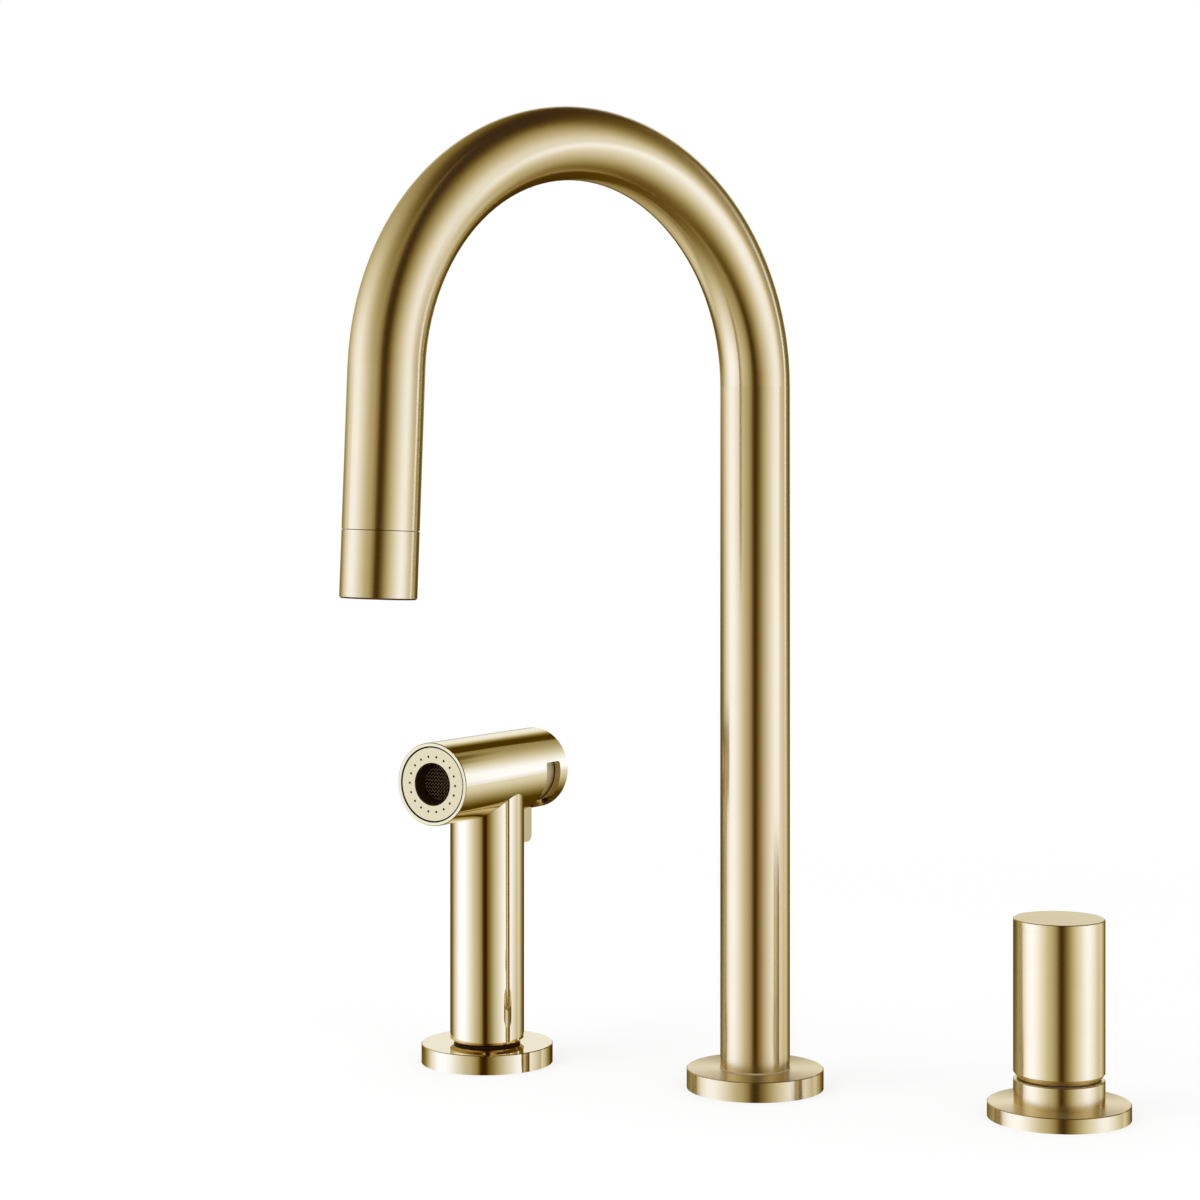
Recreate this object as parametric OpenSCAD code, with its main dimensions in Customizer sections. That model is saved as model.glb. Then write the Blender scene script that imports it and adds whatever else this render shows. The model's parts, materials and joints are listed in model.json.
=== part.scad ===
// Three-hole kitchen tap set: a swivel gooseneck spout, a single cylindrical control and a
// pull-out hand spray, each standing in its own tap hole.
// Millimetres, +Z up. The origin is on the worktop, on the axis of the spout. +X runs from the
// hand spray to the control. -Y is the front, where the sink is.

/* [Worktop] */
// Distance from the spout's hole to the control's hole
control_pitch = 124.5; // [90:0.5:160]
// Distance from the spout's hole to the hand spray's hole
spray_pitch = 120; // [90:0.5:160]
// Thickness of the worktop that the nuts clamp
deck_t = 30; // [20:1:40]

/* [Rosettes] */
// Diameter of the three rosettes
rosette_d = 55; // [54:0.5:62]
// Height of the rosettes of the spout and the spray
rosette_h = 8; // [7:0.1:11]
// Height of the rosette of the control
low_rosette_h = 5.8; // [5.4:0.1:6.6]
// Side wall of a rosette
rosette_wall = 2.5; // [1.5:0.1:3]
// Top wall of a rosette
rosette_top_t = 2; // [1.5:0.1:2.2]
// Thickness of the sealing gasket under each foot
gasket_t = 1.5; // [1:0.1:1.8]

/* [Spout] */
// Outer diameter of the spout tube
spout_d = 28; // [26:0.5:32]
// Wall of the spout tube
spout_wall = 2; // [1.6:0.1:2.4]
// Height of the straight riser above the worktop
riser_h = 281.5; // [220:0.5:340]
// Radius of the bend, to the middle of the tube
bend_r = 91; // [70:0.5:120]
// Angle that the bend turns through
bend_angle = 177.5; // [150:0.5:179]
// Length of the tube after the bend
leg_l = 58.5; // [30:0.5:90]
// Length of the sleeve at the outlet
outlet_l = 24.5; // [21:0.5:35]
// Chamfer round the lower end of the sleeve
outlet_edge = 0.6; // [0.3:0.1:1]
// Depth of the hairline joint between the tube and the sleeve
seam_depth = 0.4; // [0.2:0.1:0.8]
// Angle of the spout at rest, from straight ahead towards the spray
spout_turn = 26; // [0:1:60]
// Thickness of the bright ring under the tube
glide_t = 0.5; // [0.4:0.1:1.5]
// Height of the fixed post inside the riser, above the rosette
post_h = 62; // [55:1:90]

/* [Control] */
// Diameter of the control knob
knob_d = 35; // [34:0.5:38]
// Height of the control knob
knob_h = 61.2; // [56:0.2:75]
// Side wall of the knob
knob_wall = 2.5; // [2.2:0.1:2.8]
// Top wall of the knob
knob_top_t = 3; // [2:0.1:5]
// Width of the bevel round the foot of the knob
knob_bevel = 1.7; // [1.5:0.05:2]
// Height of the bevel round the foot of the knob
knob_bevel_h = 2.3; // [1.5:0.1:3]
// Gap between the knob and its collar
knob_gap = 0.35; // [0.3:0.05:1.5]
// Height of the collar above its rosette
collar_h = 9; // [8:0.2:11]
// Wall of the collar
collar_wall = 1.4; // [1.2:0.1:1.5]
// Height of the tilt pivot above the foot of the knob
pivot_rise = 18.5; // [16:0.5:20]
// Diameter of the cartridge neck inside the knob
neck_d = 21; // [20.6:0.1:21.4]
// Diameter of the cartridge skirt inside the body
skirt_d = 25.8; // [25.6:0.1:26]
// Across the flats of the square lever top
lever_w = 7; // [6.4:0.2:8]
// Diameter of the lever stem
stem_d = 6; // [5.6:0.1:6.4]
// Diameter of the ball at the foot of the lever
ball_d = 4.8; // [4.6:0.1:5]
// Diameter of the pivot pin of the lever
pivot_d = 3; // [2.4:0.1:3.2]

/* [Hand spray] */
// Angle of the spray head at rest, from straight ahead towards the left
spray_turn = 8; // [0:1:40]
// Diameter of the handle
handle_d = 31; // [30:0.5:32]
// Wall of the handle
handle_wall = 2.2; // [1.8:0.1:2.4]
// Bevel round the foot of the handle
handle_bevel = 1.4; // [0.8:0.1:1.6]
// Height of the dark lip that the handle stands on
lip_h = 0.9; // [0.7:0.1:2.5]
// Height of the head's axis above the worktop
head_z = 120; // [112:1:150]
// Diameter of the head
head_d = 34; // [33:0.5:35]
// Wall of the head
head_wall = 2.8; // [2.6:0.1:3]
// Distance from the handle's axis to the front of the head
head_front = 40; // [36:0.5:44]
// Distance from the handle's axis to the back of the head
head_rear = 36.5; // [36:0.5:44]
// Diameter of the hose end that slides in the dock
hose_end_d = 22; // [21:0.5:23]
// Reach of the hose end below the worktop
hose_end_l = 12; // [11:0.5:15]
// Length of the swivel neck of the hose end, inside the handle
swivel_l = 21; // [20:0.5:25]
// Length of the check valve above the swivel neck
valve_l = 11; // [10:0.5:14]
// Reach of the dock's guide below the worktop
guide_l = 25; // [24:0.5:32]

/* [Spray face] */
// Width of the bright rim round the face
rim_w = 1.5; // [1.2:0.1:1.6]
// Gap between the rim and the face plate
face_gap = 0.3; // [0.2:0.05:0.5]
// Thickness of the face plate
face_t = 3.5; // [3:0.1:4]
// Number of nozzles in the ring
nozzle_n = 18; // [12:1:20]
// Radius of the ring of nozzles
nozzle_ring_r = 11.3; // [11:0.1:11.6]
// Diameter of one nozzle
nozzle_hole_d = 1; // [0.6:0.1:1.4]
// Diameter of the mouth of the jet
jet_d = 17.6; // [17:0.1:18]
// Depth of the screen behind the face
jet_depth = 4.5; // [3.5:0.1:6]
// Distance between the wires of the screen
screen_pitch = 1.25; // [1.1:0.05:2]
// Thickness of the wires of the screen
screen_wire = 0.4; // [0.3:0.05:0.5]

/* [Diverter] */
// Start of the slot behind the handle's axis
slot_start = 20; // [19:0.5:21]
// Width of the slot along the head
slot_w = 10.5; // [9:0.5:10.5]
// Angle by which the slot reaches above the head's axis
slot_above = 14; // [12:1:20]
// Angle by which the slot passes the bottom of the head
slot_past = 14; // [13.5:0.5:20]
// Radius of the slot's corners
slot_corner_r = 1.5; // [0.8:0.1:2.5]
// Thickness of the tab
tab_t = 5; // [4:0.1:5.2]
// Width of the tab along the head
tab_w = 7.2; // [6.6:0.1:8]
// Length of the tab below the head
tab_l = 14; // [11:0.5:24]
// Radius of the tab's lower rear corner
tab_corner_r = 3; // [1:0.1:3.4]
// Diameter of the diverter shaft
shaft_d = 6; // [5:0.1:6.4]

/* [Under the worktop] */
// Length of the spigots of the feet inside the shanks
spigot_l = 19.5; // [18.5:0.5:23]
// Wall of the threaded shanks
shank_wall = 2.8; // [2.4:0.1:3.5]
// Length of thread left free below each nut
shank_free = 14.5; // [10:0.5:30]
// Across the flats of the shank nuts
nut_af = 44; // [42:0.5:50]
// Height of the shank nuts
nut_h = 9; // [6:0.5:12]
// Diameter of the clamping washers
washer_d = 54; // [50:1:60]
// Thickness of the steel washers
steel_t = 2.5; // [2:0.1:4]
// Thickness of the rubber washers
rubber_t = 3; // [2:0.1:5]
// Diameter of the spout's threaded inlet
inlet_d = 16.6; // [15:0.2:18]
// Diameter of the control's three threaded ports
port_d = 9.2; // [8:0.2:9.6]
// Radius of the circle of the three ports
port_ring_r = 6.8; // [6.4:0.1:7]

/* [Clearances] */
// Radial clearance of turning and sliding fits
run_gap = 0.05; // [0.02:0.01:0.1]
// Radial clearance of the hose end in its dock
dock_gap = 0.1; // [0.05:0.01:0.1]
// Clearance between pieces that are fitted together
seat_gap = 0.05; // [0.02:0.01:0.1]
// Clearance between moving pieces that do not guide each other
free_gap = 0.3; // [0.2:0.05:0.4]
// Width of the hairline joints that show
seam_gap = 0.25; // [0.15:0.05:0.5]

/* [Hidden] */
$fn = 64;
OVER = 1;
EDGE = 0.3;

gold = [0.78, 0.69, 0.50];
polished = [0.88, 0.82, 0.66];
brass = [0.72, 0.60, 0.32];
steel = [0.74, 0.74, 0.76];
rubber = [0.10, 0.10, 0.10];
plastic = [0.16, 0.16, 0.17];
acetal = [0.90, 0.90, 0.86];
ceramic = [0.94, 0.93, 0.90];

// Feet, spigots and shanks, which all three units share
foot_r = rosette_d / 2 - rosette_wall - 0.5;
foot_top = rosette_h - rosette_top_t;
low_foot_top = low_rosette_h - rosette_top_t;
hose_end_r = hose_end_d / 2;
guide_r = hose_end_r + dock_gap;
guide_wall = 1;
guide_outer_r = guide_r + guide_wall;
spigot_wall = 1;
spigot_r = guide_outer_r + seat_gap + spigot_wall;
shank_bore_r = spigot_r + seat_gap;
shank_r = shank_bore_r + shank_wall;
rubber_z = -deck_t - rubber_t;
steel_z = rubber_z - steel_t;
nut_z = steel_z - nut_h;
shank_end_z = nut_z - shank_free;
spigot_end_z = gasket_t - spigot_l;

// Spout
spout_r = spout_d / 2;
spout_bore_r = spout_r - spout_wall;
post_r = spout_bore_r - free_gap;
post_top = rosette_h + post_h;
tube_foot_z = rosette_h + glide_t;
waterway_r = 6;
inlet_depth = -spigot_end_z;
oring_r = 0.95;
groove_floor_r = spout_bore_r - run_gap - 2 * oring_r - seat_gap;
oring_z = rosette_h + post_h / 2 - 4;
oring_zs = [oring_z, oring_z + 6];
bush_h = 7;
bush_zs = [rosette_h + 3, post_top - 12];
screw_z = rosette_h + 17;
screw_r = 2;
screw_groove_w = 4.6;
outlet_top = leg_l + seam_gap;
outlet_end = outlet_top + outlet_l;
outlet_plug_l = 9;
aerator_r = spout_bore_r - 1.4;
aerator_l = 13;
aerator_inset = 1;
aerator_hole_r = 0.95;
aerator_hole_pitch = 2.7;
aerator_rings = 3;

// Control
knob_r = knob_d / 2;
knob_bore_r = knob_r - knob_wall;
collar_top = low_rosette_h + collar_h;
collar_bore_r = knob_r - collar_wall;
knob_foot_z = collar_top + knob_gap;
knob_top_z = knob_foot_z + knob_h;
pivot_z = knob_foot_z + pivot_rise;
body_neck_r = collar_bore_r - seat_gap;
skirt_r = skirt_d / 2;
neck_r = neck_d / 2;
skirt_top = low_foot_top + 4.7;
ring_nut_h = 3.5;
ring_nut_r = skirt_r + 0.6;
body_top = skirt_top + ring_nut_h;
base_t = 1.6;
disc_t = 2.5;
disc_z = base_t + disc_t;
chamber_r = skirt_r - 1.3;
driver_floor_z = disc_z + disc_t;
chamber_top = driver_floor_z + 0.6;
driver_bore_r = neck_r - 1;
rotor_r = neck_r - 1.95;
rotor_skirt_r = driver_bore_r - run_gap;
housing_top = pivot_z + 2.4;
rotor_top = pivot_z + 4.3;
rotor_step_z = pivot_z - 9.7;
rotor_skirt_z = pivot_z - 13.7;
rotor_leg_z = driver_floor_z + 2;
stem_r = stem_d / 2;
lever_slot_w = stem_d + 0.4;
lever_slot_l = 10;
lever_arm = 20.2;
ball_z = pivot_z - lever_arm;
ball_r = ball_d / 2;
arm_r = 1.7;
pivot_r = pivot_d / 2;
driver_w = 12;
driver_l = 8;
driver_top = ball_z + 3.5;
pocket_r = ball_r + 0.1;
pocket_floor = ball_z - ball_r - 0.4;
moving_disc_r = 8.2;
lever_square_z = pivot_z + 6.3;
insert_z = pivot_z + 12.3;
insert_h = 16;
insert_r = knob_bore_r - seat_gap;
lever_top_z = insert_z + insert_h - 3;
knob_screw_z = insert_z + 6;
port_depth = 12;
way_r = 1.6;
way_ring_r = port_ring_r - 1.2;
port_angles = [90, 210, 330];
cavity_w = 9;
cavity_l = 8;
cavity_shift = -0.4;

// Hand spray
handle_r = handle_d / 2;
handle_bore_r = handle_r - handle_wall;
handle_z = rosette_h + lip_h;
lip_r = handle_r - handle_bevel - 0.2;
guide_end_z = -guide_l;
swivel_r = 7;
swivel_top = handle_z + swivel_l;
swivel_way_r = 4;
hose_end_z = -hose_end_l;
hose_thread_r = 6;
hose_thread_l = 10;
clip_t = 1;
clip_r = 9;
clip_z = swivel_top - 2;
swivel_seal_z = swivel_top - 8;
swivel_seal_r = 0.55;
bush_step_z = clip_z - 0.2;
valve_z = swivel_top + 4;
valve_r = 7.2;
riser_tube_r = 6;
riser_tube_bore_r = 4.4;
riser_tube_z = valve_z + valve_l;
bush_top = riser_tube_z + 8;
top_bush_z = head_z - head_d;
top_bush_l = 12;
head_r = head_d / 2;
head_bore_r = head_r - head_wall;
face_r = head_r - rim_w - face_gap;
mouth_r = head_r - rim_w;
face_inset = 0.3;
face_back = -head_front + face_inset + face_t;
plate_seat = face_inset + face_t;
manifold_r = head_bore_r - seat_gap;
manifold_end = -19;
manifold_web = 5;
channel_in_r = jet_d / 2 + 0.9;
channel_out_r = nozzle_ring_r + 1.6;
channel_depth = 5.5;
jet_r = jet_d / 2;
jet_screen_r = jet_r - 1.6;
jet_screen_t = 0.5;
jet_sleeve_end = -24;
jet_port_r = 2.2;
jet_port_at = 6.1;
spray_port_r = 1.5;
valve_disc_r = head_bore_r - 0.7;
valve_disc_t = 3;
valve_disc_z = manifold_end;
shaft_r = shaft_d / 2;
shaft_flat = shaft_r - 0.8;
shaft_start = manifold_end - 2;
bulkhead_z = 13.5;
bulkhead_t = slot_start - 3.2 - bulkhead_z;
drum_z = bulkhead_z + bulkhead_t + 0.3;
drum_web_t = 2.5;
drum_r = head_bore_r - free_gap;
drum_wall = 2.4;
cap_t = 3;
cap_r = head_r - rim_w - seat_gap;
drum_end = head_rear - cap_t - 0.6;
slot_end = slot_start + slot_w;
slot_mid = (slot_start + slot_end) / 2;
tab_end = slot_end - 0.3;
tab_start = tab_end - tab_w;
tab_mid = (tab_start + tab_end) / 2;
tab_neck_t = 3;
tab_neck_w = 5;
tab_screw_r = 1.25;
tab_screw_head_r = 2.7;
tab_screw_l = 9;
drum_screw_r = 1.5;
drum_screw_head_r = 2.8;
drum_screw_l = 8;

// Shared shapes

module turned(profile) {
    rotate_extrude() polygon(profile);
}

module ring(outer_r, inner_r, low, high) {
    turned([[inner_r, low], [outer_r, low], [outer_r, high], [inner_r, high]]);
}

module torus(centre_r, section_r, z) {
    translate([0, 0, z]) rotate_extrude() translate([centre_r, 0]) circle(r = section_r);
}

module rod(r, low, high) {
    translate([0, 0, low]) cylinder(r = r, h = high - low);
}

module block(size_x, size_y, low, high) {
    translate([-size_x / 2, -size_y / 2, low]) cube([size_x, size_y, high - low]);
}

module hexagon(across, low, high) {
    translate([0, 0, low]) cylinder(d = across / cos(30), h = high - low, $fn = 6);
}

// A headless screw with a hexagon socket, pointing along -Z from its outer end
module socket_screw(r, length) {
    difference() {
        turned([
            [0, -length], [r - EDGE, -length], [r, EDGE - length], [r, -EDGE], [r - EDGE, 0], [0, 0],
        ]);
        hexagon(r, -2, OVER);
    }
}

module each_unit() {
    for (x = [-spray_pitch, 0, control_pitch]) translate([x, 0, 0]) children();
}

module at_control() {
    translate([control_pitch, 0, 0]) children();
}

module at_spray() {
    translate([-spray_pitch, 0, 0]) children();
}

module in_spout() {
    rotate([0, 0, -spout_turn]) children();
}

// The frame at the end of the bend, with +Z along the leg, towards the outlet
module in_leg() {
    in_spout() translate([0, -bend_r, riser_h]) rotate([90, 0, 90]) rotate([0, 0, bend_angle])
        translate([bend_r, 0, 0]) rotate([-90, 0, 0]) children();
}

// The frame of the spray head: +Z runs back along the head, +Y points down, +X to the slot's side
module in_head() {
    at_spray() rotate([0, 0, -spray_turn]) translate([0, 0, head_z]) rotate([-90, 0, 0]) children();
}

// Under the worktop

module threaded_shanks() {
    color(brass) each_unit() turned([
        [shank_bore_r, shank_end_z], [shank_r - 1, shank_end_z], [shank_r, shank_end_z + 1],
        [shank_r, gasket_t], [shank_bore_r, gasket_t],
    ]);
}

module shank_nuts() {
    bore_r = shank_r + seat_gap;
    corner_r = nut_af / 2 / cos(30);
    color(brass) each_unit() difference() {
        intersection() {
            hexagon(nut_af, nut_z, steel_z);
            turned([
                [0, nut_z], [nut_af / 2 - 0.5, nut_z], [corner_r + 0.2, nut_z + 1.8],
                [corner_r + 0.2, steel_z - 1.8], [nut_af / 2 - 0.5, steel_z], [0, steel_z],
            ]);
        }
        rod(bore_r, nut_z - OVER, steel_z + OVER);
    }
}

module steel_washers() {
    color(steel) each_unit() ring(washer_d / 2, shank_r + 0.2, steel_z, rubber_z);
}

module rubber_washers() {
    color(rubber) each_unit() ring(washer_d / 2 - 1, shank_r + 0.2, rubber_z, -deck_t);
}

module deck_gaskets() {
    color(rubber) each_unit() ring(foot_r, shank_r + 0.2, 0, gasket_t);
}

// A cover that stands on the worktop and hides the foot inside it
module rosette(height, hole_r) {
    outer_r = rosette_d / 2;
    inner_r = outer_r - rosette_wall;
    turned([
        [inner_r, 0], [outer_r, 0], [outer_r, height - EDGE], [outer_r - EDGE, height],
        [hole_r, height], [hole_r, height - rosette_top_t], [inner_r, height - rosette_top_t],
    ]);
}

// Spout

module spout_rosette() {
    color(gold) rosette(rosette_h, post_r + seat_gap);
}

module spout_post() {
    color(brass) difference() {
        union() {
            rod(foot_r, gasket_t, foot_top);
            rod(post_r, foot_top, post_top);
            rod(spigot_r, spigot_end_z, gasket_t);
        }
        rod(inlet_d / 2, spigot_end_z - OVER, spigot_end_z + inlet_depth);
        rod(waterway_r, spigot_end_z, post_top + OVER);
        for (z = bush_zs) ring(post_r + OVER, groove_floor_r, z, z + bush_h);
        for (z = oring_zs) ring(post_r + OVER, groove_floor_r, z - 1.3, z + 1.3);
        ring(post_r + OVER, groove_floor_r, screw_z - screw_groove_w / 2, screw_z + screw_groove_w / 2);
    }
}

module spout_glide_ring() {
    color(acetal) ring(spout_r + 0.15, spout_bore_r, rosette_h, tube_foot_z);
}

module spout_orings() {
    centre_r = spout_bore_r - run_gap - oring_r;
    color(rubber) for (z = oring_zs) torus(centre_r, oring_r, z);
}

module spout_bushes() {
    color(acetal) for (z = bush_zs)
        ring(spout_bore_r - run_gap, groove_floor_r + seat_gap, z + seat_gap, z + bush_h - seat_gap);
}

// The path of the tube, filled out to a radius. The straight ends run on by end_over. The leg is
// wider than the bend by leg_step and laps over it, so that the two join as one solid.
module spout_path(r, end_over) {
    leg_step = 0.02;
    leg_lap = 0.05;
    in_spout() rod(r, tube_foot_z - end_over, riser_h);
    in_spout() translate([0, -bend_r, riser_h]) rotate([90, 0, 90])
        rotate_extrude(angle = bend_angle) translate([bend_r, 0]) circle(r = r);
    in_leg() rod(r + leg_step, -leg_lap, leg_l + end_over);
}

module spout_tube() {
    color(gold) difference() {
        spout_path(spout_r, 0);
        spout_path(spout_bore_r, OVER);
        in_spout() translate([0, 0, screw_z]) rotate([-90, 0, 0])
            rod(screw_r + seat_gap, spout_bore_r - 2, spout_r + OVER);
    }
}

module spout_screw() {
    reach = spout_r - 0.3;
    color(steel) in_spout() translate([0, reach, screw_z]) rotate([-90, 0, 0])
        socket_screw(screw_r, reach - groove_floor_r - free_gap);
}

module outlet_sleeve() {
    plug_r = spout_bore_r - seat_gap;
    color(gold) in_leg() turned([
        [aerator_r + seat_gap, outlet_end], [spout_r - outlet_edge, outlet_end],
        [spout_r, outlet_end - outlet_edge], [spout_r, outlet_top], [spout_r - seam_depth, outlet_top],
        [spout_r - seam_depth, leg_l + seat_gap], [plug_r, leg_l + seat_gap],
        [plug_r, outlet_top - outlet_plug_l],
        [plug_r - 2, outlet_top - outlet_plug_l], [plug_r - 2, outlet_end - aerator_inset - aerator_l - 2],
        [aerator_r + seat_gap, outlet_end - aerator_inset - aerator_l - 2],
    ]);
}

// Holes on rings of six, as in a flow straightener
module straightener_holes(rings, pitch, r, low, high) {
    rod(r, low, high);
    for (k = [1:rings])
        for (i = [0:6 * k - 1])
            rotate([0, 0, i * 60 / k]) translate([k * pitch, 0, 0]) rod(r, low, high);
}

module aerator_body() {
    top = outlet_end - aerator_inset - aerator_l;
    bottom = outlet_end - aerator_inset;
    color(plastic) in_leg() difference() {
        turned([
            [0, top], [aerator_r, top], [aerator_r, bottom - 0.6], [aerator_r - 0.6, bottom], [0, bottom],
        ]);
        rod(aerator_r - 1.3, bottom - 2, bottom + OVER);
        rod(aerator_r - 2.5, top - OVER, top + 5);
        straightener_holes(aerator_rings, aerator_hole_pitch, aerator_hole_r, top, bottom);
    }
}

module aerator_seal() {
    top = outlet_end - aerator_inset - aerator_l;
    color(rubber) in_leg() ring(aerator_r - 0.1, aerator_r - 2.5, top - 2 + seat_gap, top);
}

// Control

module control_rosette() {
    color(gold) at_control() rosette(low_rosette_h, body_neck_r + seat_gap);
}

// The outlet's hole is at the back, and those of the hot and the cold inlet are at the front
module three_holes(ring_r, r, low, high) {
    for (a = port_angles) rotate([0, 0, a]) translate([ring_r, 0, 0]) rod(r, low, high);
}

module control_body() {
    color(brass) at_control() difference() {
        union() {
            rod(foot_r, gasket_t, low_foot_top);
            rod(body_neck_r, low_foot_top, body_top);
            rod(spigot_r, spigot_end_z, gasket_t);
        }
        rod(skirt_r + seat_gap, 0, body_top + OVER);
        rod(ring_nut_r + seat_gap, skirt_top, body_top + OVER);
        three_holes(port_ring_r, port_d / 2, spigot_end_z - OVER, spigot_end_z + port_depth);
        three_holes(way_ring_r, way_r, spigot_end_z, OVER);
    }
}

module control_collar() {
    color(gold) at_control() turned([
        [collar_bore_r, low_rosette_h], [knob_r, low_rosette_h], [knob_r, collar_top - EDGE],
        [knob_r - EDGE, collar_top], [collar_bore_r, collar_top],
    ]);
}

module cartridge_nut() {
    spanner_slot_w = 3;
    color(brass) at_control() difference() {
        ring(ring_nut_r, neck_r + 0.3, skirt_top, body_top);
        for (a = [45, 135]) rotate([0, 0, a])
            block(2 * ring_nut_r + 2, spanner_slot_w, body_top - 1.5, body_top + OVER);
    }
}

module cartridge_housing() {
    color(acetal) at_control() turned([
        [chamber_r + seat_gap, 0], [skirt_r, 0], [skirt_r, skirt_top], [neck_r, skirt_top],
        [neck_r, housing_top - EDGE], [neck_r - EDGE, housing_top], [rotor_r + run_gap, housing_top],
        [rotor_r + run_gap, rotor_step_z], [driver_bore_r, rotor_step_z], [driver_bore_r, chamber_top],
        [chamber_r + seat_gap, chamber_top],
    ]);
}

module cartridge_base() {
    color(plastic) at_control() difference() {
        rod(chamber_r, 0, base_t);
        three_holes(way_ring_r, way_r, -OVER, base_t + OVER);
    }
}

module fixed_disc() {
    color(ceramic) at_control() difference() {
        rod(chamber_r, base_t, disc_z);
        three_holes(way_ring_r, way_r, base_t - OVER, disc_z + OVER);
    }
}

// The cavity under the moving disc is always over the inlets, and meets the outlet when it slides back
module moving_disc() {
    color(ceramic) at_control() difference() {
        rod(moving_disc_r, disc_z, driver_floor_z);
        translate([0, cavity_shift, 0]) block(cavity_w, cavity_l, disc_z - OVER, disc_z + 1.2);
    }
}

module disc_driver() {
    color(plastic) at_control() difference() {
        block(driver_w, driver_l, driver_floor_z, driver_top);
        rod(pocket_r, pocket_floor, driver_top + OVER);
    }
}

module cartridge_rotor() {
    leg_gap_w = driver_w + 2 * run_gap;
    color(plastic) at_control() difference() {
        union() {
            rod(rotor_r, rotor_step_z, rotor_top);
            rod(rotor_skirt_r, rotor_skirt_z, rotor_step_z);
            difference() {
                rod(rotor_skirt_r, rotor_leg_z, rotor_skirt_z);
                block(leg_gap_w, 30, rotor_leg_z - OVER, rotor_skirt_z + OVER);
            }
        }
        block(lever_slot_w, lever_slot_l, rotor_skirt_z - OVER, rotor_top + OVER);
        translate([0, 0, pivot_z]) rotate([0, 90, 0]) rod(pivot_r + seat_gap, -15, 15);
    }
}

module lever_pin() {
    half_l = rotor_r - 0.2;
    color(steel) at_control() translate([0, 0, pivot_z]) rotate([0, 90, 0]) rod(pivot_r, -half_l, half_l);
}

module control_lever() {
    color(steel) at_control() difference() {
        union() {
            block(lever_w, lever_w, lever_square_z, lever_top_z);
            rod(stem_r, pivot_z - 8, lever_square_z);
            rod(arm_r, ball_z, pivot_z - 8);
            translate([0, 0, ball_z]) sphere(r = ball_r);
        }
        translate([0, 0, pivot_z]) rotate([0, 90, 0]) rod(pivot_r + run_gap, -15, 15);
    }
}

module knob_insert() {
    socket_w = lever_w + 2 * seat_gap;
    color(plastic) at_control() difference() {
        turned([
            [0, insert_z], [insert_r - 1, insert_z], [insert_r, insert_z + 1],
            [insert_r, insert_z + insert_h], [0, insert_z + insert_h],
        ]);
        block(socket_w, socket_w, insert_z - OVER, lever_top_z + seat_gap);
        translate([0, 0, knob_screw_z]) rotate([-90, 0, 0])
            rod(screw_r + seat_gap, lever_w / 2, insert_r + OVER);
    }
}

module knob_shell() {
    color(gold) at_control() difference() {
        turned([
            [knob_bore_r, knob_foot_z], [knob_r - knob_bevel, knob_foot_z],
            [knob_r, knob_foot_z + knob_bevel_h], [knob_r, knob_top_z - EDGE], [knob_r - EDGE, knob_top_z],
            [0, knob_top_z], [0, knob_top_z - knob_top_t], [knob_bore_r, knob_top_z - knob_top_t],
        ]);
        translate([0, 0, knob_screw_z]) rotate([-90, 0, 0])
            rod(screw_r + seat_gap, knob_bore_r - 2, knob_r + OVER);
    }
}

module knob_screw() {
    reach = knob_r - 0.3;
    color(steel) at_control() translate([0, reach, knob_screw_z]) rotate([-90, 0, 0])
        socket_screw(screw_r, reach - lever_w / 2 - seat_gap);
}

// Hand spray: dock, hose end and handle

module spray_rosette() {
    color(polished) at_spray() rosette(rosette_h, lip_r + seat_gap);
}

module dock_base() {
    color(brass) at_spray() difference() {
        union() {
            rod(foot_r, gasket_t, foot_top);
            rod(spigot_r, spigot_end_z, gasket_t);
        }
        rod(guide_outer_r + seat_gap, spigot_end_z - OVER, foot_top + OVER);
    }
}

module dock_guide() {
    color(plastic) at_spray() turned([
        [guide_r, guide_end_z], [guide_outer_r, guide_end_z], [guide_outer_r, foot_top], [lip_r, foot_top],
        [lip_r, handle_z], [guide_r, handle_z],
    ]);
}

module hose_swivel() {
    taper_l = 5;
    groove_r = swivel_r - 1.1;
    color(brass) at_spray() difference() {
        union() {
            turned([
                [0, hose_end_z], [hose_end_r - 1.5, hose_end_z], [hose_end_r, hose_end_z + taper_l],
                [hose_end_r, handle_z], [0, handle_z],
            ]);
            rod(swivel_r, handle_z, swivel_top);
        }
        rod(swivel_way_r, hose_end_z - OVER, swivel_top + OVER);
        rod(hose_thread_r, hose_end_z - OVER, hose_end_z + hose_thread_l);
        ring(swivel_r + OVER, groove_r, swivel_seal_z - 0.8, swivel_seal_z + 0.8);
        ring(swivel_r + OVER, groove_r, clip_z - seat_gap, clip_z + clip_t + seat_gap);
    }
}

module swivel_seal() {
    color(rubber) at_spray() torus(swivel_r - swivel_seal_r, swivel_seal_r, swivel_seal_z);
}

module swivel_clip() {
    color(steel) at_spray() difference() {
        ring(clip_r, swivel_r - 1, clip_z, clip_z + clip_t);
        translate([0, clip_r / 2, 0]) block(3, clip_r + 2, clip_z - OVER, clip_z + clip_t + OVER);
    }
}

module handle_bush() {
    outer_r = handle_bore_r - seat_gap;
    color(plastic) at_spray() turned([
        [swivel_r + run_gap, handle_z], [outer_r, handle_z], [outer_r, bush_top],
        [riser_tube_r + seat_gap, bush_top], [riser_tube_r + seat_gap, riser_tube_z],
        [valve_r + seat_gap, riser_tube_z], [valve_r + seat_gap, valve_z], [clip_r + 0.6, valve_z],
        [clip_r + 0.6, bush_step_z], [swivel_r + run_gap, bush_step_z],
    ]);
}

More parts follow.
